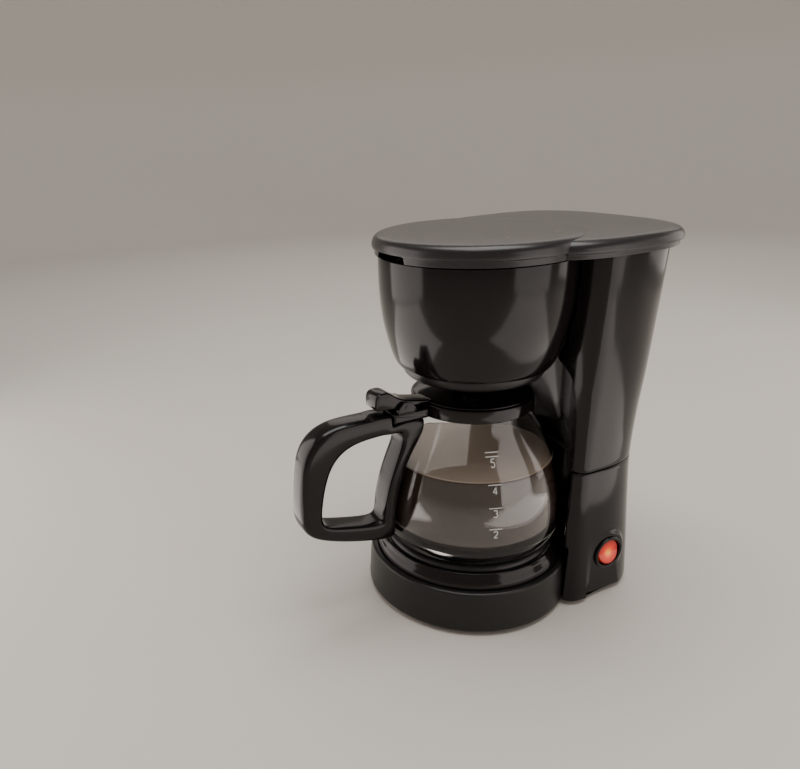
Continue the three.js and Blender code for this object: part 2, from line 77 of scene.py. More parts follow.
# half-width, front depth and back depth of the column at each height
COLUMN = np.array([
    [3.4, 68.8, 24.0, 64.0], [34, 66.6, 21.4, 62.1], [68, 64.0, 18.2, 59.8], [100, 62.2, 16.0, 58.0],
    [128, 62.8, 16.3, 58.6], [162, 65.0, 18.0, 60.7], [200, 66.8, 19.8, 62.4], [244, 68.8, 21.4, 64.2]])
# brew head and carafe glass, outer radius at each height
HEAD = [[51.4, 172.7], [54.4, 179.5], [57.4, 190], [60.2, 201.6], [62, 216], [62.8, 230], [62.8, 243.6]]
GLASS = [[62.6, 55], [64.1, 62], [64, 72], [62.9, 82], [60.4, 94], [56.9, 105.5], [52.4, 115.3], [46.6, 125],
         [41.4, 133.4], [38.2, 140.6]]


# ------------------------------------------------------------------ meshes from numbers
def put(name, parts, mat, body, nodes=(), smooth=38.0):
    """One object from (points, faces) pairs in mm about the carafe's axis; it rides on a CAD body."""
    verts, faces, n = [], [], 0
    for v, f in parts:
        v = np.asarray(v, float).reshape(-1, 3)
        verts.append(v)
        faces += [[int(i) + n for i in face] for face in f]
        n += len(v)
    v = np.concatenate(verts) * MM
    v[:, 1] += AXIS_Y * MM
    mesh = bpy.data.meshes.new(name)
    mesh.from_pydata(v.tolist(), [], faces)
    bm = bmesh.new()
    bm.from_mesh(mesh)
    bmesh.ops.remove_doubles(bm, verts=bm.verts, dist=2e-6)
    bmesh.ops.dissolve_degenerate(bm, edges=bm.edges, dist=2e-6)
    bmesh.ops.recalc_face_normals(bm, faces=bm.faces)
    bm.to_mesh(mesh)
    bm.free()
    obj = bpy.data.objects.new(name, mesh)
    bpy.context.scene.collection.objects.link(obj)
    mesh.materials.append(mat)
    mesh.shade_smooth()
    mesh.set_sharp_from_angle(angle=math.radians(smooth))
    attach(obj, body)
    if nodes:
        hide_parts(*nodes)
    return obj


def grid(rows, cols, wrap_rows=False, wrap_cols=False):
    """Quads of a rows x cols grid of points, closed round in either direction."""
    r, c = np.arange(rows if wrap_rows else rows - 1), np.arange(cols if wrap_cols else cols - 1)
    rr, cc = np.meshgrid(r, c, indexing="ij")
    r2, c2 = (rr + 1) % rows, (cc + 1) % cols
    quads = np.stack([rr * cols + cc, rr * cols + c2, r2 * cols + c2, r2 * cols + cc], -1)
    return quads.reshape(-1, 4).tolist()


def rounded(points, radius=1.0, steps=4, closed=True):
    """Corners of a polyline turned into parabolas, each cutting min(radius, 0.49 of the edge) back."""
    p = np.asarray(points, float)
    rad = np.broadcast_to(np.asarray(radius, float), (len(p),))
    n, out = len(p), []
    for i in range(n):
        if rad[i] <= 0 or (not closed and i in (0, n - 1)):
            out.append(p[i])
            continue
        a, b, c = p[i - 1], p[i], p[(i + 1) % n]
        la, lc = np.linalg.norm(a - b), np.linalg.norm(c - b)
        s, e = b + (a - b) * min(rad[i] / la, 0.49), b + (c - b) * min(rad[i] / lc, 0.49)
        t = np.linspace(0, 1, steps + 1)[:, None]
        out.extend((1 - t) ** 2 * s + 2 * t * (1 - t) * b + t * t * e)
    return np.array(out)


def section(points, radius=0.8, steps=4, closed=True):
    """Profile whose points may carry their own corner radius as a third number."""
    rad = [q[2] if len(q) > 2 else radius for q in points]
    return rounded([q[:2] for q in points], rad, steps, closed)


def turned(profile, radius=0.8, segments=160, axis="z", centre=(0, 0, 0), steps=4, lift=None, closed=True):
    """Surface of revolution about z or x: (r, z) and angle a give (r cos a, r sin a, z), z raised by lift."""
    pr = section(profile, radius, steps, closed)
    pr[:, 0] = np.maximum(pr[:, 0], 0)
    a = np.linspace(0, 2 * math.pi, segments, endpoint=False)
    r, z = pr[:, :1], pr[:, 1:]
    ring = np.stack([r * np.cos(a), r * np.sin(a), np.repeat(z, segments, 1)], -1)
    if lift:
        ring[..., 2] = lift(ring[..., 0], ring[..., 1], ring[..., 2])
    if axis == "x":
        ring = ring[..., [2, 0, 1]]
    return (ring + np.array(centre)).reshape(-1, 3), grid(len(pr), segments, closed, True)


def prism(outline, x0, x1, bevel=0.6, radius=1.2, steps=3):
    """Outline (y, z) carried from x0 to x1; near both ends it shrinks along its normals on a quarter circle."""
    p = rounded(outline, radius, 3)
    keep = np.linalg.norm(p - np.roll(p, 1, 0), axis=1) > 1e-4
    p = p[keep]
    t = np.roll(p, -1, 0) - np.roll(p, 1, 0)
    nrm = np.stack([t[:, 1], -t[:, 0]], -1) / np.maximum(np.linalg.norm(t, axis=1, keepdims=True), 1e-9)
    area = 0.5 * np.sum(p[:, 0] * np.roll(p[:, 1], -1) - np.roll(p[:, 0], -1) * p[:, 1])
    nrm *= np.sign(area)
    q = np.linspace(0, math.pi / 2, steps + 1)
    ends = [(x0 + bevel * (1 - math.cos(s)), bevel * (1 - math.sin(s))) for s in q]
    ends += [(x1 - (x - x0), d) for x, d in ends[::-1]]
    rows = [np.column_stack([np.full(len(p), x), p - nrm * d]) for x, d in ends]
    n = len(p)
    faces = grid(len(rows), n, False, True)
    faces += [list(range(n)), list(range((len(rows) - 1) * n, len(rows) * n))[::-1]]
    return np.concatenate(rows), faces


def smoothstep(x):
    """0 below 0, 1 above 1, and 3 x^2 - 2 x^3 between."""
    x = np.clip(x, 0, 1)
    return x * x * (3 - 2 * x)


def softmax(a, b, k=1.2):
    """Smooth maximum: (a + b + sqrt((a - b)^2 + k^2)) / 2."""
    return 0.5 * (a + b + np.sqrt((a - b) ** 2 + k * k))


def natural(x, xs, ys):
    """Smooth curve through points: cubic Hermite with centred slopes."""
    xs, ys, x = np.asarray(xs, float), np.asarray(ys, float), np.asarray(x, float)
    m = np.gradient(ys, xs)
    i = np.clip(np.searchsorted(xs, x) - 1, 0, len(xs) - 2)
    h = xs[i + 1] - xs[i]
    t = np.clip((x - xs[i]) / h, 0, 1)
    return ((1 + 2 * t) * (1 - t) ** 2 * ys[i] + t * (1 - t) ** 2 * h * m[i] + t * t * (3 - 2 * t) * ys[i + 1]
            + t * t * (t - 1) * h * m[i + 1])


# ------------------------------------------------------------------ materials
def new_group(name, inputs, outputs):
    """Empty shader node group with its input and output nodes."""
    g = bpy.data.node_groups.new(name, "ShaderNodeTree")
    for n, kind, default in inputs:
        s = g.interface.new_socket(n, in_out="INPUT", socket_type=kind)
        s.default_value = default
    for n, kind in outputs:
        g.interface.new_socket(n, in_out="OUTPUT", socket_type=kind)
    return g, g.nodes.new("NodeGroupInput"), g.nodes.new("NodeGroupOutput")


def moulded_group():
    """Moulded plastic: roughness runs from low to high with a slow noise, and fine grain tips the normal."""
    g, i, o = new_group("moulded_surface", [
        ("Low", "NodeSocketFloat", 0.1), ("High", "NodeSocketFloat", 0.2),
        ("Cloud scale", "NodeSocketFloat", 30.0),
        ("Grain scale", "NodeSocketFloat", 900.0), ("Grain", "NodeSocketFloat", 0.02)],
        [("Roughness", "NodeSocketFloat"), ("Mask", "NodeSocketFloat"), ("Normal", "NodeSocketVector")])
    n, l = g.nodes, g.links
    tc = n.new("ShaderNodeTexCoord")
    cloud, fine, bump, mix = (n.new("ShaderNodeTexNoise"), n.new("ShaderNodeTexNoise"), n.new("ShaderNodeBump"),
                              n.new("ShaderNodeMapRange"))
    cloud.inputs["Detail"].default_value = 2
    fine.inputs["Detail"].default_value = 3
    bump.inputs["Distance"].default_value = 0.0004
    l.new(tc.outputs["Object"], cloud.inputs["Vector"])
    l.new(tc.outputs["Object"], fine.inputs["Vector"])
    l.new(i.outputs["Cloud scale"], cloud.inputs["Scale"])
    l.new(i.outputs["Grain scale"], fine.inputs["Scale"])
    l.new(cloud.outputs["Fac"], mix.inputs["Value"])
    mix.inputs["From Min"].default_value, mix.inputs["From Max"].default_value = 0.15, 0.85
    l.new(i.outputs["Low"], mix.inputs["To Min"])
    l.new(i.outputs["High"], mix.inputs["To Max"])
    l.new(fine.outputs["Fac"], bump.inputs["Height"])
    l.new(i.outputs["Grain"], bump.inputs["Strength"])
    l.new(mix.outputs["Result"], o.inputs["Roughness"])
    l.new(cloud.outputs["Fac"], o.inputs["Mask"])
    l.new(bump.outputs["Normal"], o.inputs["Normal"])
    return g


def new_material(name):
    """Material with its nodes, links and Principled shader."""
    m = bpy.data.materials.new(name)
    m.use_nodes = True
    return m, m.node_tree.nodes, m.node_tree.links, m.node_tree.nodes["Principled BSDF"]


def add_surface(n, values):
    """A moulded_surface node with the given input values."""
    g = n.new("ShaderNodeGroup")
    g.node_tree = bpy.data.node_groups.get("moulded_surface") or moulded_group()
    for key, v in values.items():
        g.inputs[key].default_value = v
    return g


def plastic(name, colour, tint, low, high, grain, grain_scale, cloud, metallic=0.0):
    """Principled surface whose colour, roughness and normal come from the moulded_surface group."""
    m, n, l, b = new_material(name)
    g = add_surface(n, {"Low": low, "High": high, "Cloud scale": cloud, "Grain scale": grain_scale,
                        "Grain": grain})
    ramp = n.new("ShaderNodeValToRGB")
    ramp.color_ramp.elements[0].position, ramp.color_ramp.elements[1].position = 0.15, 0.85
    ramp.color_ramp.elements[0].color = (*colour, 1)
    ramp.color_ramp.elements[1].color = (*tint, 1)
    l.new(g.outputs["Mask"], ramp.inputs["Fac"])
    l.new(ramp.outputs["Color"], b.inputs["Base Color"])
    l.new(g.outputs["Roughness"], b.inputs["Roughness"])
    l.new(g.outputs["Normal"], b.inputs["Normal"])
    b.inputs["Metallic"].default_value = metallic
    return m


def clear_glass(name, colour, ior):
    """Clear blown glass: plain transmission, with a faint slow waviness in its normal."""
    m, n, l, b = new_material(name)
    g = add_surface(n, {"Grain scale": 30.0, "Grain": 0.003})
    l.new(g.outputs["Normal"], b.inputs["Normal"])
    b.inputs["Base Color"].default_value = (*colour, 1)
    b.inputs["Roughness"].default_value = 0.0
    b.inputs["IOR"].default_value = ior
    b.inputs["Transmission Weight"].default_value = 1.0
    return m


def lamp_material(strength):
    """Lit rocker: colour and glow fall off from the middle with the distance from the lamp behind it."""
    m, n, l, b = new_material("lit_rocker")
    tc, dist, rng, ramp = (n.new("ShaderNodeTexCoord"), n.new("ShaderNodeVectorMath"),
                           n.new("ShaderNodeMapRange"),
                           n.new("ShaderNodeValToRGB"))
    dist.operation = "DISTANCE"
    dist.inputs[1].default_value = ((FACE_X + 1.2) * MM, (SWITCH_Y + AXIS_Y) * MM, SWITCH_Z * MM)
    rng.inputs["From Min"].default_value, rng.inputs["From Max"].default_value = 0.0, 0.0095
    l.new(tc.outputs["Object"], dist.inputs[0])
    l.new(dist.outputs["Value"], rng.inputs["Value"])
    l.new(rng.outputs["Result"], ramp.inputs["Fac"])
    e = ramp.color_ramp.elements
    e[0].position, e[0].color = 0.08, (1.0, 0.42, 0.04, 1)
    e[1].position, e[1].color = 0.92, (0.30, 0.006, 0.003, 1)
    mid = e.new(0.40)
    mid.color = (0.80, 0.030, 0.005, 1)
    l.new(ramp.outputs["Color"], b.inputs["Base Color"])
    l.new(ramp.outputs["Color"], b.inputs["Emission Color"])
    b.inputs["Emission Strength"].default_value = strength
    b.inputs["Roughness"].default_value = 0.2
    return m


def coffee_material(level):
    """Coffee: a dark brown body whose last 0.4 mm below the level turns paler brown, a painted highlight that
    stands for the light reflected off the liquid's surface.
    """
    m = plastic("coffee", (0.052, 0.033, 0.026), (0.062, 0.040, 0.032), 0.03, 0.05, 0.0, 900, 25)
    n, l = m.node_tree.nodes, m.node_tree.links
    b, ramp = n["Principled BSDF"], next(k for k in n if k.type == "VALTORGB")
    tc, axes, rng, mix = (n.new("ShaderNodeTexCoord"), n.new("ShaderNodeSeparateXYZ"),
                          n.new("ShaderNodeMapRange"),
                          n.new("ShaderNodeMix"))
    mix.data_type = "RGBA"
    rng.inputs["From Min"].default_value, rng.inputs["From Max"].default_value = level - 0.0004, level - 0.0001
    l.new(tc.outputs["Object"], axes.inputs[0])
    l.new(axes.outputs["Z"], rng.inputs["Value"])
    l.new(rng.outputs["Result"], mix.inputs["Factor"])
    l.new(ramp.outputs["Color"], mix.inputs["A"])
    # painted highlight: the paler brown of the coffee's top stands in for light reflected off its surface
    mix.inputs["B"].default_value = (0.46, 0.35, 0.27, 1)
    l.new(mix.outputs["Result"], b.inputs["Base Color"])
    return m


def finishes():
    """All materials by finish; made once."""
    if MAT:
        return MAT
    s = bpy.context.scene.coffee_maker_finish
    g, t = s.gloss_colour, s.gloss_roughness
    MAT.update(
        gloss=plastic("gloss_black_plastic", tuple(g), tuple(1.5 * c for c in g), t, t * 1.5, 0.012, 260, 22),
        lid=plastic("lid_black_plastic", (0.012, 0.011, 0.012), (0.018, 0.0165, 0.018), 0.26, 0.31, 0.02, 500, 16),
        satin=plastic("satin_black_plastic", (0.006, 0.006, 0.0055), (0.010, 0.010, 0.0092), 0.30, 0.40, 0.10,
                      1600, 18),
        soft=plastic("foot_rubber", (0.02, 0.02, 0.02), (0.035, 0.035, 0.034), 0.7, 0.85, 0.2, 1500, 40),
        inner=plastic("inner_plastic", (0.03, 0.03, 0.031), (0.045, 0.045, 0.046), 0.45, 0.6, 0.08, 1400, 30),
        plate=plastic("plate_coating", (0.018, 0.018, 0.019), (0.03, 0.03, 0.032), 0.28, 0.42, 0.15, 2600, 60, 0.4),
        steel=plastic("plain_steel", (0.55, 0.55, 0.56), (0.66, 0.66, 0.67), 0.22, 0.36, 0.03, 1800, 40, 1.0),
        alloy=plastic("cast_alloy", (0.50, 0.51, 0.52), (0.62, 0.62, 0.63), 0.4, 0.58, 0.25, 900, 50, 1.0),
        hose=plastic("silicone_hose", (0.66, 0.63, 0.56), (0.76, 0.74, 0.68), 0.4, 0.55, 0.05, 700, 30),
        print=plastic("printed_white", (0.55, 0.55, 0.54), (0.62, 0.62, 0.60), 0.4, 0.5, 0.0, 900, 30),
        glass=clear_glass("carafe_glass_clear", tuple(s.glass_tint), 1.47),
        coffee=coffee_material(bpy.context.scene.coffee_maker_carafe.fill_height),
        lamp=lamp_material(s.lamp_strength))
    for finish, ior in (("gloss", 1.37), ("satin", 1.40), ("lid", 1.46)):
        MAT[finish].node_tree.nodes["Principled BSDF"].inputs["IOR"].default_value = ior
    return MAT


# ------------------------------------------------------------------ shapes shared by the pieces
def column_sizes(z, inset=0.0):
    """Half-width, front depth and back depth of the column at height z, less the inset."""
    return [natural(z, COLUMN[:, 0], COLUMN[:, k]) - inset for k in (1, 2, 3)]


def column_front(x, z, inset=0.0):
    """y of the column's front face: COL_Y - f (1 - |x/a|^3.5)^(1/3.5)."""
    a, f, _ = column_sizes(z, inset)
    return COL_Y - f * (1 - np.clip(np.abs(x / a), 0, 1) ** 3.5) ** (1 / 3.5)


def column_back(x, z, inset=0.0):
    """y of the column's back face: COL_Y + b (1 - |x/a|^3)^(1/3)."""
    a, _, b = column_sizes(z, inset)
    return COL_Y + b * (1 - np.clip(np.abs(x / a), 0, 1) ** 3) ** (1 / 3)


def hollow(x, radius):
    """y on a cylinder of that radius about the carafe's axis, or far forward outside it."""
    return np.where(np.abs(x) < radius, np.sqrt(np.clip(radius ** 2 - x ** 2, 0, None)), -200.0)


def shell(outer_rows, inner_rows):
    """Closed skin: rows of (front, back) curves up the outside and down the inside, ended by flat strips."""
    rows = [np.concatenate([f, b[::-1][1:-1]]) for f, b in outer_rows + inner_rows]
    n, m = len(rows[0]), len(outer_rows[0][0])
    v = np.concatenate(rows)
    faces = grid(len(rows), n, False, True)
    for start in (0, (len(rows) - 1) * n):
        front = start + np.arange(m)
        back = start + (n - np.arange(m)) % n
        back[-1] = start + m - 1
        faces += np.stack([front[:-1], front[1:], back[1:], back[:-1]], -1).tolist()
    return v, faces


def back_curve(z, inset, count):
    """Points of the column's back face at z, from right to left."""
    a = column_sizes(z, inset)[0]
    x = a * np.sin(np.linspace(math.pi / 2, -math.pi / 2, count))
    return np.column_stack([x, column_back(x, z, inset), np.full(count, z)])


def arch_rows(spring, top, steps):
    """Rise of an arch: half-width factor cos(t) and height spring + (top - spring) sin(t)^0.8."""
    t = np.linspace(0, math.pi / 2, steps)
    return np.cos(t), spring + (top - spring) * np.sin(t) ** 0.8


# ------------------------------------------------------------------ property groups
class CoffeeMakerFinish(bpy.types.PropertyGroup):
    gloss_colour: FloatVectorProperty(name="Gloss colour", description="Colour of the glossy black plastic",
                                      default=(0.0042, 0.0032, 0.0034), size=3, subtype="COLOR", min=0, max=1)
    gloss_roughness: FloatProperty(name="Gloss roughness", description="Roughness of the glossy plastic",
                                   default=0.10, min=0, max=1, subtype="FACTOR")
    glass_tint: FloatVectorProperty(name="Glass tint", description="Tint of the carafe glass",
                                    default=(0.97, 0.985, 0.98), size=3, subtype="COLOR", min=0, max=1)
    lamp_strength: FloatProperty(name="Lamp strength", description="Glow of the lit rocker", default=0.32,
                                 min=0, max=10)


class CoffeeMakerCarafe(bpy.types.PropertyGroup):
    fill_height: FloatProperty(name="Fill height", description="Height of the coffee's surface above the table",
                               default=0.1066, min=0.06, max=0.125, unit="LENGTH")
    numeral_height: FloatProperty(name="Numeral height", description="Height of the cup numerals",
                                  default=0.0046, min=0.002, max=0.01, unit="LENGTH")
    mark_angle: FloatProperty(name="Mark angle",
                              description="Turn of the cup scale from the front towards the switch",
                              default=math.radians(70), min=0, max=math.pi, unit="ROTATION")


class CoffeeMakerStage(bpy.types.PropertyGroup):
    floor_colour: FloatVectorProperty(name="Floor colour", description="Colour of the floor and backdrop",
                                      default=(0.56, 0.53, 0.49), size=3, subtype="COLOR", min=0, max=1)
    light_level: FloatProperty(name="Light level", description="Strength of all lights together", default=1.0,
                               min=0,
                               max=10)


# ------------------------------------------------------------------ operators
class MakeBase(bpy.types.Operator):
    """Turns the base drum, the rim ring and the warming plate"""
    bl_idname = "coffee.make_base"
    bl_label = "Base and warming plate"

    def execute(self, context):
        m = finishes()

        def doorway(x, y, z):
            """The hose doorway at the back: there the wall's lower edge is lifted to 27 mm."""
            return np.where((np.abs(x) < 38) & (y > 40), np.maximum(z, 27.0), z)
        put("base_drum", [turned([
            [69.4, 3.4, 0.6], [72, 3.4, 1.2], [71.5, 11, 3], [70.9, 22, 3], [70.2, 29.4, 1], [70, 31.4, 0.7],
            [68.6, 32.2, 0.5], [66, 32.3, 0.4], [66, 29.8, 0.3], [67.3, 29.8, 0.3]], segments=220, lift=doorway)],
            m["satin"], "housing", ["drum_shell"])
        put("rim_ring_turned", [turned([
            [59.6, 33, 0.5], [62, 31, 0.5], [65.7, 30.2, 0.4], [65.7, 34.6, 1.4], [64.7, 37.4, 2.5],
            [63.2, 39.6, 2], [62.6, 41.4, 0.8], [61.7, 42.6, 0.5], [60.3, 42.6, 0.5], [59.6, 41, 0.5]],
            segments=220)], m["gloss"], "housing", ["rim_ring"])
        put("warming_plate_turned", [turned([
            [0, 44.1, 0], [55.6, 44.1, 0.5], [57.4, 42.9, 0.5], [57.6, 40.6, 0.2], [58.8, 40.6, 0.2],
            [58.7, 43.4, 1.2], [57, 45.1, 1.0], [54.6, 45.25, 0.4], [53.6, 45.0, 0.4], [50, 45.0, 0.4],
            [49.2, 45.3, 0.4], [0, 45.3, 0]],
            segments=200)], m["plate"], "housing", ["warming_plate"])
        return {"FINISHED"}


class MakeLowerColumn(bpy.types.Operator):
    """Sweeps the lower half of the column, with its drum seat, its flat facet and the switch well"""
    bl_idname = "coffee.make_lower_column"
    bl_label = "Lower column"

    def execute(self, context):
        m = finishes()
        count = 300

        def curves(z, inset, height=None):
            """Front and back curves of the section at z, hollowed by the drum and flat on the switch side.

            The facet lies at FACE_X from y 55.4 to 95 and up to z 59; a boss of radius 13 and a well 9 mm deep
            of radius 9.6 are set in it round the switch's axis.
            """
            a = column_sizes(z, inset)[0]
            x = a * np.sin(np.linspace(math.pi / 2, -math.pi / 2, count))
            radius = DRUM_R + (NICHE_R - DRUM_R) * smoothstep((z - 43.9) / 0.8) + inset
            back = column_back(x, z, inset)
            front = np.minimum(softmax(column_front(x, z, inset), hollow(x, radius), 0.8), back)
            h = np.full(count, z if height is None else height)
            flat = FACE_X - inset
            pair = []
            for y in (front, back):
                side = smoothstep((y - 55.4) / 0.9) * smoothstep((95 - y) / 4.0) * smoothstep((59.0 - z) / 4.0)
                xx = np.where(x > flat, x + (flat - x) * side, x)
                d = np.hypot(y - SWITCH_Y, h - SWITCH_Z)
                xx = xx + (flat - xx) * (1 - smoothstep((d - 13.0) / 5.0)) * (x > 40)
                xx = xx - 9.0 * (1 - smoothstep((d - 9.6) / 1.1)) * (x > 40)
                pair.append(np.column_stack([xx, y, h]))
            return pair
        up = np.unique(np.concatenate([np.linspace(3.4, 20, 9), np.linspace(20, 48, 41), np.linspace(48, 98.6, 26),
                                       [43.4, 43.9, 44.3, 44.7, 45.2]]))
        outer = [curves(3.4, 0.6), curves(3.6, 0.2, 3.7)] + [curves(z, 0.0) for z in up[up > 4]]
        outer += [curves(99.2, 0.12), curves(99.5, 0.35), curves(99.7, 0.7)]
        put("lower_housing_swept", [shell(outer, [])], m["gloss"], "housing", ["lower_housing"])
        return {"FINISHED"}


class MakeUpperColumn(bpy.types.Operator):
    """Sweeps the upper column with its niche, the tank's walls, the niche panel and the hinge ears"""
    bl_idname = "coffee.make_upper_column"
    bl_label = "Upper column and niche panel"

    def execute(self, context):
        m = finishes()
        half, spring, top = ARCH
        factor, rise = arch_rows(spring, top, 22)
        low = np.linspace(102, spring, 25)[:-1]
        zs = np.concatenate([low, rise, np.linspace(191, 243, 27)])
        arch = np.concatenate([np.full(len(low), half), np.maximum(half * factor, 1.0), np.full(27, 1.0)])
        outer_n, inner_n, back_n = 34, 46, 180
        bowl = [[47.4, 160], [49, 170.6]] + HEAD
        br, bz = np.array(bowl)[:, 0], np.array(bowl)[:, 1]

        def curves(z, inset, h):
            """Front curve in three stretches (edge, niche of half-width h, edge) and the back curve."""
            a = column_sizes(z, inset)[0]
            s = np.linspace(math.pi / 2, 0, outer_n)
            right = h + (a - h) * np.sin(s)
            mid = np.linspace(h, -h, inner_n)
            clear = np.interp(z, bz, br) + 0.5 if z > 160 else 0.0
            y_side = column_front(right, z, inset)
            if clear:
                y_side = softmax(y_side, hollow(right, clear), 0.8)
            y_side = np.minimum(y_side, column_back(right, z, inset))
            y_mid = column_front(mid, z, inset)
            y_mid = softmax(y_mid, hollow(mid, NICHE_R if z < top - 0.01 else clear), 0.8)
            x = np.concatenate([right, mid, -right[::-1]])
            y = np.concatenate([y_side, y_mid, y_side[::-1]])
            return np.column_stack([x, y, np.full(len(x), z)]), back_curve(z, inset, back_n)

        def room(z):
            """Curves of the tank's inner wall at z."""
            a = column_sizes(z, WALL)[0]
            x = a * np.sin(np.linspace(math.pi / 2, -math.pi / 2, 2 * outer_n + inner_n))
            radius = NICHE_R + WALL if z < 193 else 65.9
            y = np.minimum(softmax(column_front(x, z, WALL), hollow(x, radius), 0.8), column_back(x, z, WALL))
            return np.column_stack([x, y, np.full(len(x), z)]), back_curve(z, WALL, back_n)
        outer = [curves(100.3, 0.7, half), curves(100.5, 0.35, half), curves(100.8, 0.12, half)]
        outer += [curves(z, 0.0, h) for z, h in zip(zs, arch)]
        outer += [curves(243.6, 0.1, 1.0), curves(244.0, 0.5, 1.0)]
        inner = [room(z) for z in np.r_[[244.0], np.linspace(242, 194, 9), [193.2, 192.8],
                                        np.linspace(190, 104, 14), [103.5]]]
        v, faces = shell(outer, inner)
        ears = [prism([[112, 235], [HINGE_Y + 1.6, HINGE_Z - 2.4], [HINGE_Y + 3.2, HINGE_Z],
                       [HINGE_Y + 2.2, HINGE_Z + 2.1], [HINGE_Y, HINGE_Z + 2.9], [HINGE_Y - 2, HINGE_Z + 2.1],
                       [HINGE_Y - 2.9, HINGE_Z - 0.4], [117.6, 243.4], [112, 242]], s * 24.8 - 2.5,
                       s * 24.8 + 2.5, 0.5) for s in (-1, 1)]
        put("upper_housing_swept", [(v, faces)] + ears, m["gloss"], "housing", ["upper_housing"])

        # the niche panel: a raised sheet on the hollow's wall, its edge falling from R 67.4 to 68.7
        panel_half, panel_spring, panel_top = PANEL
        factor, rise = arch_rows(panel_spring, panel_top, 16)
        pz = np.concatenate([[101.25, 101.4, 101.9], np.linspace(103, 144.5, 24), rise])
        ph = panel_half * np.concatenate([np.ones(27), factor])
        u = np.sin(np.linspace(-math.pi / 2, math.pi / 2, 90))
        x = ph[:, None] * u
        z = np.repeat(pz[:, None], 90, 1)
        edge = np.minimum((1 - np.abs(u)) * panel_half, np.minimum(z - 101.2, 167.0 - z))
        lip = 1 - np.sqrt(np.clip(1 - (1 - np.clip(edge / 1.3, 0, 1)) ** 2, 0, 1))
        r = 67.4 + 1.2 * lip
        face = np.stack([x, np.sqrt(r ** 2 - x ** 2), z], -1)
        rear = np.stack([x, np.sqrt(68.7 ** 2 - x ** 2), z], -1)
        n = face.shape[0] * 90
        quads = np.array(grid(face.shape[0], 90))
        rim = np.concatenate([np.arange(90), np.arange(1, face.shape[0]) * 90 + 89, n - 2 - np.arange(89),
                              np.arange(face.shape[0] - 2, 0, -1) * 90])
        nxt = np.roll(rim, -1)
        put("niche_panel_sheet", [(np.concatenate([face.reshape(-1, 3), rear.reshape(-1, 3)]),
                                   quads.tolist() + (quads[:, ::-1] + n).tolist()
                                   + np.stack([rim, nxt, nxt + n, rim + n], -1).tolist())],
            m["gloss"], "housing", ["niche_panel"])
        return {"FINISHED"}


class MakeBrewHead(bpy.types.Operator):
    """Turns the brew head, the drip tier below it and the filter basket inside it"""
    bl_idname = "coffee.make_brew_head"
    bl_label = "Brew head and basket"

    def execute(self, context):
        m = finishes()
        inside = [[r - 2.6, z + 0.6, 40] for r, z in HEAD[:5][::-1]]
        put("brew_head_turned", [turned(
            [[14, 171.2, 0.4], [48.6, 171.2, 1.0]] + [[r, z, 40] for r, z in HEAD[:-1]]
            + [[62.8, 243.6, 0.7], [60.5, 243.6, 0.5], [60.5, 237.6, 0.4], [58.9, 237.6, 0.4], [58.9, 228, 4]]
            + inside + [[47, 174, 1], [14, 174, 0.4]], segments=220, steps=5)], m["gloss"], "housing",
            ["brew_head"])
        put("drip_tier_turned", [turned([
            [13, 163.5, 0.4], [42, 163.5, 1.6], [46.2, 165.8, 2.4], [47.3, 170.9, 0.3], [45, 170.9, 0.3],
            [44.4, 167.4, 1], [42.4, 165.8, 1], [13, 165.8, 0.4]], segments=200)], m["satin"], "housing",
            ["drip_tier"])
        put("filter_basket_turned", [turned([
            [4.4, 177.2, 0.3], [12, 177.2, 1], [42, 179.6, 3], [46.5, 182, 3], [51.6, 194, 6], [55.6, 211, 8],
            [57.8, 238, 0.4], [60, 238, 0.5], [60, 240.4, 0.7], [55.8, 240.4, 0.7], [53.6, 211, 8],
            [49.6, 194.6, 6], [45, 183.8, 3], [41.4, 181.6, 3], [12, 179.2, 1], [4.4, 179.2, 0.3]],
            segments=180)], m["satin"], "basket", ["filter_basket"])
        return {"FINISHED"}


class MakeDripStop(bpy.types.Operator):
    """Turns the drip valve and winds its spring"""
    bl_idname = "coffee.make_drip_stop"
    bl_label = "Drip stop"

    def execute(self, context):
        m = finishes()
        put("drip_valve_turned", [turned([
            [0, 158.4, 0], [7.6, 158.4, 0.5], [8.6, 159.4, 0.5], [8.6, 161.4, 0.4], [3.6, 161.4, 0.4],
            [3.6, 179.5, 0.2], [7.4, 179.6, 0.3], [7.4, 181.2, 0.5], [0, 182.6, 0]], segments=72, closed=False)],
            m["inner"], "valve", ["drip_valve"])
        # helix of four turns: centre line (R cos t, R sin t, z), with a circle of the wire's radius across it
        coil_r, wire_r, foot, height, end = 5.6, 0.6, 162.4, 13.8, 8 * math.pi
        t = np.linspace(0, end, 241)[:, None]
        radial = np.hstack([np.cos(t), np.sin(t), 0 * t])
        along = np.hstack([-coil_r * np.sin(t), coil_r * np.cos(t), np.full_like(t, height / end)])
        across = np.cross(along / np.linalg.norm(along, axis=1, keepdims=True), radial)
        line = coil_r * radial + (foot + height * t / end) * np.array([0, 0, 1])
        a = np.linspace(0, 2 * math.pi, 12, endpoint=False)[None, :, None]
        p = line[:, None] + wire_r * (np.cos(a) * radial[:, None] + np.sin(a) * across[:, None])
        spring = put("valve_spring_wound", [(p.reshape(-1, 3), grid(241, 12, False, True)
                                             + [list(range(12)), list(range(240 * 12, 241 * 12))[::-1]])],
                     m["steel"], "valve", ["valve_spring"], 50)
        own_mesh(spring)
        return {"FINISHED"}


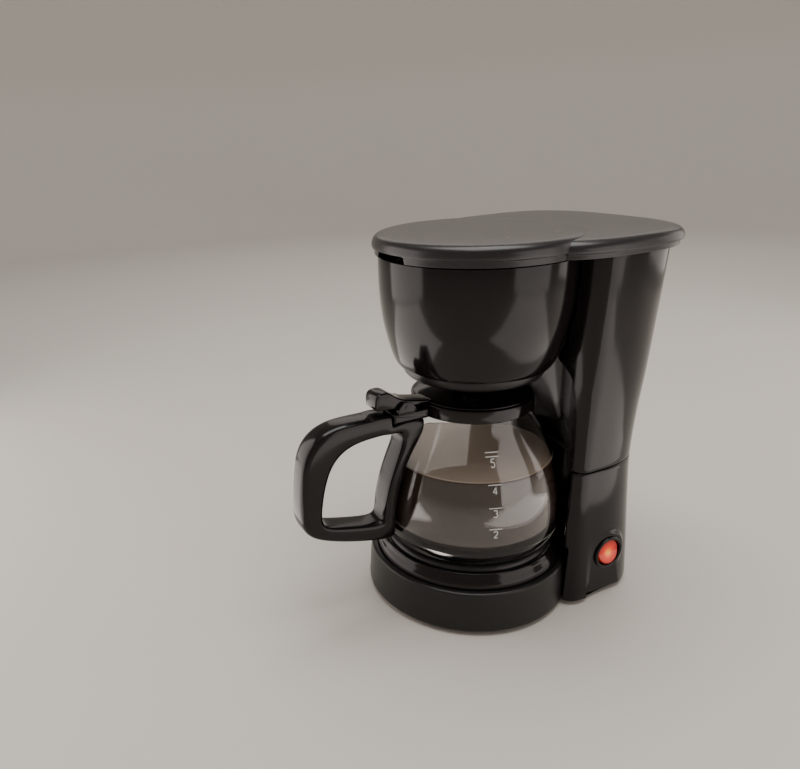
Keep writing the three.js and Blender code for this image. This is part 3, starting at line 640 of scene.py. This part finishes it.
class MakeLid(bpy.types.Operator):
    """Forms the lid: a turned front disc over a lofted rear lobe, with its finger slot and hinge knuckles"""
    bl_idname = "coffee.make_lid"
    bl_label = "Lid"

    def execute(self, context):
        m = finishes()
        skirt_r, skirt_inset = 63.6, 3.2     # middle of the disc's skirt, and of the lobe's

        def disc_lift(x, y, z):
            """The disc's skirt ends at 253.4 where it runs inside the lobe, and at 249 over the finger slot."""
            r = np.maximum(np.hypot(x, y), 1e-6)
            xs, ys = x * skirt_r / r, y * skirt_r / r
            side = np.abs(xs / (LOBE_A - skirt_inset)) ** 3 + np.abs((ys - LOBE_Y) / (LOBE_B - skirt_inset)) ** 3
            inside = (side < 1) & (r > 58)
            slot = (np.abs(x) < 15) & (y < -50)
            return np.where(inside, np.maximum(z, 253.4), np.where(slot, np.maximum(z, 249.0), z))
        disc = turned([
            [62.4, 244.3, 0.5], [64.8, 244.3, 0.5], [64.9, 248.0, 0.4], [66.4, 248.6, 0.5], [66.75, 251.2, 2.2],
            [65.6, 254.6, 2.2], [62.6, 256.6, 3], [40, 257.4, 12], [0, 257.8, 0], [0, 253.6, 0],
            [62.4, 251.4, 1.2]],
            segments=288, steps=6, lift=disc_lift)

        t = np.linspace(0, 2 * math.pi, 320, endpoint=False)
        c, s = np.cos(t), np.sin(t)

        def outline(inset):
            """The lobe's outline, a superellipse of power 3, less the inset."""
            return ((LOBE_A - inset) * np.sign(c) * np.abs(c) ** (2 / 3),
                    LOBE_Y + (LOBE_B - inset) * np.sign(s) * np.abs(s) ** (2 / 3))
        prof = section([
            [65, 252.6, 0], [6.6, 252.4, 1.2], [4.4, 244.3, 0.5], [2, 244.3, 0.5], [1.9, 247.2, 0.4],
            [0.35, 247.8, 0.5], [0, 250.4, 1.8], [1.5, 253.2, 1.8], [4.6, 254.9, 3], [30, 255.9, 10],
            [65, 256.0, 0]], 0.8, 6, False)
        under_disc = np.hypot(*outline(skirt_inset)) < skirt_r
        rows = []
        for inset, z in prof:
            x, y = outline(inset)
            zz = np.full(320, z)
            if inset < 20:
                zz = np.where(under_disc, np.maximum(zz, 253.2), zz)
                zz = np.where((np.abs(x) < 30) & (y > 110), np.maximum(zz, 251.0), zz)
            rows.append(np.column_stack([x, y, zz]))
        lobe = (np.concatenate(rows), grid(len(rows), 320, False, True))
        knuckles = []
        for sx in (-1, 1):
            x0, x1 = (12, 21.8) if sx > 0 else (-21.8, -12)
            knuckles.append(turned([[0, x0, 0], [3, x0, 0.5], [3, x1, 0.5], [0, x1, 0]], segments=40, axis="x",
                                   centre=(0, HINGE_Y - 1, HINGE_Z), closed=False))
            knuckles.append(prism([[HINGE_Y - 4, HINGE_Z], [HINGE_Y + 1.2, HINGE_Z], [HINGE_Y + 1.2, 252.6],
                                   [HINGE_Y - 4, 252.6]], x0, x1, 0.4, 0.6))
        put("lid_formed", [disc, lobe] + knuckles, m["lid"], "lid", ["lid"], 32)
        return {"FINISHED"}


class MakeCarafe(bpy.types.Operator):
    """Turns the glass, the neck band and the lid, and carries the grip round its loop"""
    bl_idname = "coffee.make_carafe"
    bl_label = "Carafe"

    def execute(self, context):
        m = finishes()
        wall = [[r - 2.4, z + 0.7, 40] for r, z in GLASS[:0:-1]]
        put("carafe_glass_blown", [turned(
            [[0, 48.4, 0], [44, 47.6, 5], [50.6, 45.6, 1.6], [54, 45.6, 1.6], [59, 48.2, 3]]
            + [[r, z, 40] for r, z in GLASS]
            + [[38.2, 146, 0.9], [35.8, 146, 0.9]] + wall + [[56.5, 54.6, 3], [46, 56.2, 5], [0, 56.8, 0]],
            segments=224, steps=6)], m["glass"], "carafe", ["carafe_glass"], 60)

        band = turned([[38.7, 141.2, 0.4], [41.2, 141.2, 0.8], [41.3, 145.6, 0.4], [41.2, 150, 0.9],
                       [38.7, 150, 0.4]], segments=180)
        lug = prism([[-66.6, 141.2], [-40, 141.2], [-40, 148], [-66.6, 148]], -9.8, 9.8, 1.6, 1.2, 4)
        ears = [prism([[-64, 147], [-50, 147], [-50, 150.6], [-54.4, 155.4], [-59.6, 155.4], [-64, 150.6]],
                      sx * 8.6 - 1.2, sx * 8.6 + 1.2, 0.4, 2.4) for sx in (-1, 1)]
        put("neck_band", [band, lug] + ears, m["gloss"], "carafe", ["carafe_band"])

        # grip: in every direction about its centre the section runs from the loop's edge to the outer outline
        outer = [[-67, 148], [-98, 148.8], [-110, 147.6], [-120, 143.4], [-127.4, 135.5], [-131.4, 124],
                 [-133.4, 108], [-134.2, 92], [-133.2, 82], [-129, 75], [-120, 69.6], [-104, 63.8], [-88, 59.6],
                 [-74, 57], [-66.4, 57], [-65, 60], [-65.2, 67], [-64.9, 74], [-64, 81.4], [-62.4, 90],
                 [-60.4, 97.6], [-57.7, 106], [-54.2, 114], [-50.8, 120], [-47.4, 125.5], [-44.4, 130.6],
                 [-42.6, 134.2], [-42.2, 140.6], [-67, 140.6]]
        loop = [[-61.5, 134.4], [-74, 134.8], [-92, 133.6], [-103, 129.2], [-111, 120.5], [-116, 107],
                [-118.8, 92], [-119.2, 83], [-114, 78.2], [-98, 74.4], [-82, 71.2], [-75.4, 71.6], [-73.4, 76],
                [-72.6, 86], [-69.6, 99], [-65, 112], [-60.4, 123], [-59, 130]]
        ang = np.linspace(-math.pi, math.pi, 300, endpoint=False)

        def reach(outline, radius):
            """Distance from the centre to the rounded outline in every direction."""
            p = rounded(outline, radius, 6) - np.array([GRIP_Y, GRIP_Z])
            th, r = np.arctan2(p[:, 1], p[:, 0]), np.hypot(p[:, 0], p[:, 1])
            k = np.argsort(th)
            return np.interp(ang, th[k], r[k], period=2 * math.pi)
        rad = np.full(len(outer), 40.0)
        rad[[0, 13, 14, 15, 26, 27, 28]] = 1.2      # the corners that lie on the band and the glass stay sharp
        r1, r0 = reach(outer, rad), reach(loop, 40.0)
        v = np.linspace(0, 2 * math.pi, 40, endpoint=False)
        sx = 9.5 * np.sign(np.cos(v)) * np.abs(np.cos(v)) ** 0.42
        q = 0.5 + 0.5 * np.sign(np.sin(v)) * np.abs(np.sin(v)) ** 0.42
        rr = r0[:, None] + (r1 - r0)[:, None] * q
        pts = np.stack([np.broadcast_to(sx, rr.shape), GRIP_Y + rr * np.cos(ang)[:, None],
                        GRIP_Z + rr * np.sin(ang)[:, None]], -1)
        put("grip", [(pts.reshape(-1, 3), grid(300, 40, True, True))], m["gloss"], "carafe",
            ["carafe_handle"], 50)

        top = turned([
            [6, 152.2, 0.5], [13, 152.7, 0.6], [13.2, 156.2, 0.6], [15, 156.2, 0.6], [16, 153, 1.4],
            [37.6, 151.9, 1.6], [39.8, 151.2, 0.4], [39.8, 150.4, 0.3], [35.2, 150.4, 0.4], [35, 144.4, 0.4],
            [33.2, 144.4, 0.4], [33.2, 149.6, 1], [6, 150.6, 0.5]], segments=180)
        arm = prism([[-36, 150.5], [-36, 152], [-50, 154.4], [-57, 156.0], [-62.5, 158.6], [-67, 162.0],
                     [-70, 163.3], [-75.5, 163.3], [-78.2, 161.6], [-78.8, 157], [-78.6, 152.6], [-76, 151.8],
                     [-64, 150.8], [-60.4, 148.6], [-54, 148.6], [-50, 150.5]], -7.1, 7.1, 1.2, 2.2, 4)
        put("carafe_lid_turned", [top, arm], m["gloss"], "carafe_lid", ["carafe_lid"])
        return {"FINISHED"}


class MakeCoffee(bpy.types.Operator):
    """Fills the carafe up to the fill height, a hair inside the glass"""
    bl_idname = "coffee.make_coffee"
    bl_label = "Coffee"

    def execute(self, context):
        level = context.scene.coffee_maker_carafe.fill_height / MM
        g = np.array(GLASS)
        side = [[r - 2.6, z + 0.7, 40] for r, z in GLASS if 58 < z + 0.7 < level - 2]
        r_top = float(np.interp(level, g[:, 1] + 0.7, g[:, 0])) - 2.6
        put("coffee_fill", [turned(
            [[0, 57.1, 0], [46, 56.5, 5], [56.2, 54.95, 3]] + side + [[r_top, level + 0.5, 0.3],
                                                                      [r_top - 1.2, level, 0.8],
                                                                     [0, level, 0]],
            segments=200, steps=5, closed=False)], finishes()["coffee"], "carafe", (), 50)
        return {"FINISHED"}


class MakeCupScale(bpy.types.Operator):
    """Lays the cup numerals and ticks as thin printed ribbons on the glass"""
    bl_idname = "coffee.make_cup_scale"
    bl_label = "Cup scale"

    def execute(self, context):
        s = context.scene.coffee_maker_carafe
        g = np.array(GLASS)
        h = s.numeral_height / MM
        tick = [[-4.2, 0], [4.2, 0]]

        def arc(cx, cy, rx, ry, a0, a1):
            """Elliptic arc from angle a0 to a1, in degrees."""
            a = np.radians(np.linspace(a0, a1, 14))
            return np.column_stack([cx + rx * np.cos(a), cy + ry * np.sin(a)])
        strokes = {
            2: [np.concatenate([arc(0.5, 0.72, 0.42, 0.28, 165, -35), [[0.1, 0.0]], [[0.95, 0.0]]])],
            3: [np.concatenate([arc(0.46, 0.76, 0.4, 0.24, 150, -80), arc(0.46, 0.28, 0.45, 0.28, 80, -155)])],
            4: [np.array([[0.72, 0.0], [0.72, 1.0], [0.05, 0.3], [1.0, 0.3]])],
            5: [np.concatenate([[[0.88, 1.0], [0.22, 1.0], [0.14, 0.55]],
                                arc(0.46, 0.32, 0.44, 0.32, 120, -150)])],
        }

        def ribbon(path, width, z0):
            """Path (u, v) in mm on the glass as a strip, 0.14 mm thick, wrapped round its radius."""
            p = np.asarray(path, float)
            p = np.concatenate([np.linspace(a, b, 5)[:-1] for a, b in zip(p[:-1], p[1:])] + [p[-1:]])
            t = np.gradient(p, axis=0)
            t /= np.maximum(np.linalg.norm(t, axis=1, keepdims=True), 1e-9)
            nrm = np.stack([-t[:, 1], t[:, 0]], -1) * width / 2
            rows = []
            for side, lift in ((1, 0.02), (1, 0.16), (-1, 0.16), (-1, 0.02)):
                w = p + side * nrm
                z = z0 + w[:, 1]
                r = np.interp(z, g[:, 1], g[:, 0]) + lift
                a = s.mark_angle + w[:, 0] / r
                rows.append(np.column_stack([r * np.sin(a), -r * np.cos(a), z]))
            pts = np.stack(rows, 1)
            n = len(pts)
            return pts.reshape(-1, 3), grid(n, 4, False, True) + [[0, 1, 2, 3],
                                                                  [4 * n - 1, 4 * n - 2, 4 * n - 3, 4 * n - 4]]
        parts = []
        for cups, z in ((2, 77.5), (3, 91.5), (4, 106.0), (5, 122.0)):
            parts.append(ribbon(tick, 0.5, z))
            parts += [ribbon(k * [h * 0.62, h] + [-h * 0.31, -h - 1.3], 0.55, z) for k in strokes[cups]]
        parts.append(ribbon(tick, 0.5, 124.4))
        put("cup_scale", parts, finishes()["print"], "carafe", (), 30)
        return {"FINISHED"}


class MakeSwitch(bpy.types.Operator):
    """Turns the bezel and shapes the lit rocker with its shallow V face"""
    bl_idname = "coffee.make_switch"
    bl_label = "Switch"

    def execute(self, context):
        m = finishes()
        f = FACE_X
        put("switch_bezel_turned", [turned([
            [9.6, f - 5, 0.2], [10.5, f - 5, 0.2], [10.5, f + 0.05, 0.1], [12.2, f + 0.05, 0.1],
            [12.1, f + 1.2, 0.8], [11.2, f + 1.8, 0.6], [10.1, f + 1.6, 0.5], [9.7, f + 0.6, 0.4]], segments=96,
            axis="x",
            centre=(0, SWITCH_Y, SWITCH_Z))], m["gloss"], "housing", ["switch_bezel"])
        # rocker: x = f + 0.2 + sqrt(z^2 + 0.25) tan 9 deg inside R 8.1, rolled over to R 8.8, then tilted 8 deg
        roll = np.linspace(0.2, math.pi / 2, 6)
        rad = np.concatenate([np.linspace(0.0, 8.1, 28), 8.1 + 0.7 * np.sin(roll)])
        drop = np.concatenate([np.zeros(28), 0.7 * (1 - np.cos(roll))])
        a = np.linspace(0, 2 * math.pi, 96, endpoint=False)
        y, z = rad[:, None] * np.cos(a), rad[:, None] * np.sin(a)
        x = f + 0.2 + np.sqrt(z ** 2 + 0.25) * math.tan(math.radians(9)) - drop[:, None]
        front = np.stack([x, y, z], -1)
        wall = np.stack([np.full((1, 96), f - 7.0), front[-1:, :, 1], front[-1:, :, 2]], -1)
        cap = np.stack([np.full((1, 96), f - 7.0), np.zeros((1, 96)), np.zeros((1, 96))], -1)
        p = np.concatenate([front, wall, cap])
        t = math.radians(8)
        dx, dz = p[..., 0] - (f - 4), p[..., 2].copy()
        p = np.stack([f - 4 + dx * math.cos(t) - dz * math.sin(t), p[..., 1] + SWITCH_Y,
                      SWITCH_Z + dx * math.sin(t) + dz * math.cos(t)], -1)
        put("rocker", [(p.reshape(-1, 3), grid(len(p), 96, False, True))], m["lamp"], "rocker",
            ["switch_rocker"], 30)
        return {"FINISHED"}


class DressInnerParts(bpy.types.Operator):
    """Gives every carried-over CAD node the finish of its kind"""
    bl_idname = "coffee.dress_inner_parts"
    bl_label = "Inner parts and fixings"

    def execute(self, context):
        m = finishes()
        kinds = {
            "soft": ["foot_1", "foot_2", "foot_3", "foot_4", "foot_5", "cord_gland"],
            "steel": ["cover_screw_1", "cover_screw_2", "cover_screw_3", "cover_screw_4", "heater_clamp",
                      "lid_hinge_pin",
                      "basket_bail"],
            "gloss": ["carafe_lid_pin"],
            "alloy": ["heating_element", "thermal_fuse"],
            "inner": ["thermostat", "switch_body", "check_valve", "riser_tube", "tank_strainer", "shower_head"],
            "hose": ["plate_seal", "inlet_hose", "outlet_hose"],
            "satin": ["base_cover"],
        }
        for finish, nodes in kinds.items():
            for n in nodes:
                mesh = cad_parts[n].data
                mesh.materials.clear()
                mesh.materials.append(m[finish])
        return {"FINISHED"}


class MakeStage(bpy.types.Operator):
    """Sets the floor with its upswept backdrop, the soft lights, the sky and the camera"""
    bl_idname = "coffee.make_stage"
    bl_label = "Stage, lights and camera"

    def execute(self, context):
        s = context.scene.coffee_maker_stage
        scene = context.scene
        # floor: flat out to 1.9 m, then up a quarter circle of radius 0.6 m into a round wall
        t = np.linspace(0, math.pi / 2, 24)
        bend = np.column_stack([1.9 + 0.6 * np.sin(t), 0.6 - 0.6 * np.cos(t)])
        prof = np.concatenate([[[0, 0], [0.6, 0]], bend, [[2.5, 3.2]]])
        a = np.linspace(0, 2 * math.pi, 120, endpoint=False)
        v = np.stack([prof[:, :1] * np.cos(a), prof[:, :1] * np.sin(a), np.repeat(prof[:, 1:], 120, 1)], -1)
        mesh = bpy.data.meshes.new("floor")
        mesh.from_pydata(v.reshape(-1, 3).tolist(), [], grid(len(prof), 120, False, True))
        mesh.shade_smooth()
        floor = bpy.data.objects.new("floor", mesh)
        scene.collection.objects.link(floor)
        c = tuple(s.floor_colour)
        mesh.materials.append(plastic("floor_paint", c, tuple(1.03 * k for k in c), 0.55, 0.62, 0.0, 400, 3))

        def area(name, place, turn, size_x, size_y, power, colour):
            """Area light that the camera doesn't see, at a place and with a rotation."""
            lamp = bpy.data.lights.new(name, "AREA")
            lamp.shape, lamp.size, lamp.size_y = "RECTANGLE", size_x, size_y
            lamp.energy, lamp.color = power * s.light_level, colour
            o = bpy.data.objects.new(name, lamp)
            o.location, o.rotation_euler = place, turn
            o.visible_camera = False
            scene.collection.objects.link(o)

        def facing(place, aim):
            return (Vector(aim) - Vector(place)).to_track_quat("-Z", "Y").to_euler()

        def side_light(name, turn, distance, height, size_x, size_y, radiance):
            """A softbox that stands round the object, turned from the camera's side, giving that radiance."""
            a = math.radians(CAMERA_SIDE + turn)
            place = (distance * math.sin(a), -distance * math.cos(a), height)
            area(name, place, facing(place, (0, 0, min(height, 0.3))), size_x, size_y,
                 radiance * math.pi * size_x * size_y, WARM)

        def low_light(name, turn, near, far, width, radiance):
            """A flat panel on the floor, facing up, from near to far on the side that the turn gives."""
            a, d = math.radians(CAMERA_SIDE + turn), (near + far) / 2
            area(name, (d * math.sin(a), -d * math.cos(a), 0.006), (math.pi, 0, a), width, far - near,
                 radiance * math.pi * width * (far - near), WARM)
        side_light("left_softbox", -84, 0.66, 0.31, 0.62, 0.60, 2.2)
        low_light("left_floor_panel", -84, 0.20, 0.66, 0.44, 2.0)
        side_light("right_softbox", 62, 0.80, 0.31, 0.62, 0.60, 1.7)
        low_light("right_floor_panel", 62, 0.24, 0.80, 0.46, 1.5)
        side_light("right_back_softbox", 116, 0.95, 0.36, 0.70, 0.66, 1.5)
        side_light("rear_softbox", 176, 1.6, 1.00, 1.8, 0.55, 0.9)
        area("overhead", (0.0, 0.1, 2.0), facing((0.0, 0.1, 2.0), (0, 0, 0.1)), 1.5, 1.5, 36, (1.0, 0.97, 0.94))
        world = bpy.data.worlds.new("studio")
        scene.world = world
        world.use_nodes = True
        bg = world.node_tree.nodes["Background"]
        bg.inputs["Color"].default_value = (0.80, 0.78, 0.75, 1)
        bg.inputs["Strength"].default_value = 0.5 * s.light_level

        # camera: forward from yaw and pitch, right and up turned by the roll, off-centre as a lens shift
        place, (yaw, pitch, roll), focal, centre = CAMERA
        forward = Vector((-math.sin(yaw) * math.cos(pitch), math.cos(yaw) * math.cos(pitch), -math.sin(pitch)))
        level = Vector((math.cos(yaw), math.sin(yaw), 0))
        above = level.cross(forward)
        right = math.cos(roll) * level + math.sin(roll) * above
        up = -math.sin(roll) * level + math.cos(roll) * above
        cam = bpy.data.cameras.new("camera")
        cam.sensor_width, cam.lens = 36.0, focal * 36 / FRAME_W
        cam.shift_x, cam.shift_y = (FRAME_W / 2 - centre[0]) / FRAME_W, (centre[1] - FRAME_H / 2) / FRAME_W
        cam.clip_end = 20
        o = bpy.data.objects.new("camera", cam)
        o.matrix_world = Matrix.Translation((place[0] * MM, (place[1] + AXIS_Y) * MM, place[2] * MM)) @ Matrix(
            (right, up, -forward)).transposed().to_4x4()
        scene.collection.objects.link(o)
        scene.camera = o
        return {"FINISHED"}


MAKERS = (MakeBase, MakeLowerColumn, MakeUpperColumn, MakeBrewHead, MakeDripStop, MakeLid, MakeCarafe,
          MakeCoffee, MakeCupScale, MakeSwitch, DressInnerParts, MakeStage)


class CoffeeMakerPanel(bpy.types.Panel):
    """Lists the coffee maker's pieces"""
    bl_idname = "VIEW3D_PT_coffee_maker"
    bl_label = "Coffee maker"
    bl_space_type = "VIEW_3D"
    bl_region_type = "UI"
    bl_category = "Coffee maker"

    def draw(self, context):
        scene = context.scene
        for group, names in (
                (scene.coffee_maker_finish, ("gloss_colour", "gloss_roughness", "glass_tint", "lamp_strength")),
                (scene.coffee_maker_carafe, ("fill_height", "numeral_height", "mark_angle")),
                (scene.coffee_maker_stage, ("floor_colour", "light_level"))):
            for n in names:
                self.layout.prop(group, n)
        for maker in MAKERS:
            self.layout.operator(maker.bl_idname)


CLASSES = (CoffeeMakerFinish, CoffeeMakerCarafe, CoffeeMakerStage) + MAKERS + (CoffeeMakerPanel,)


def register():
    for c in CLASSES:
        bpy.utils.register_class(c)
    bpy.types.Scene.coffee_maker_finish = PointerProperty(type=CoffeeMakerFinish)
    bpy.types.Scene.coffee_maker_carafe = PointerProperty(type=CoffeeMakerCarafe)
    bpy.types.Scene.coffee_maker_stage = PointerProperty(type=CoffeeMakerStage)


def unregister():
    for name in ("coffee_maker_finish", "coffee_maker_carafe", "coffee_maker_stage"):
        delattr(bpy.types.Scene, name)
    for c in reversed(CLASSES):
        bpy.utils.unregister_class(c)


def main():
    register()
    for maker in MAKERS:
        area, name = maker.bl_idname.split(".")
        getattr(getattr(bpy.ops, area), name)()


if __name__ == "__main__":
    main()
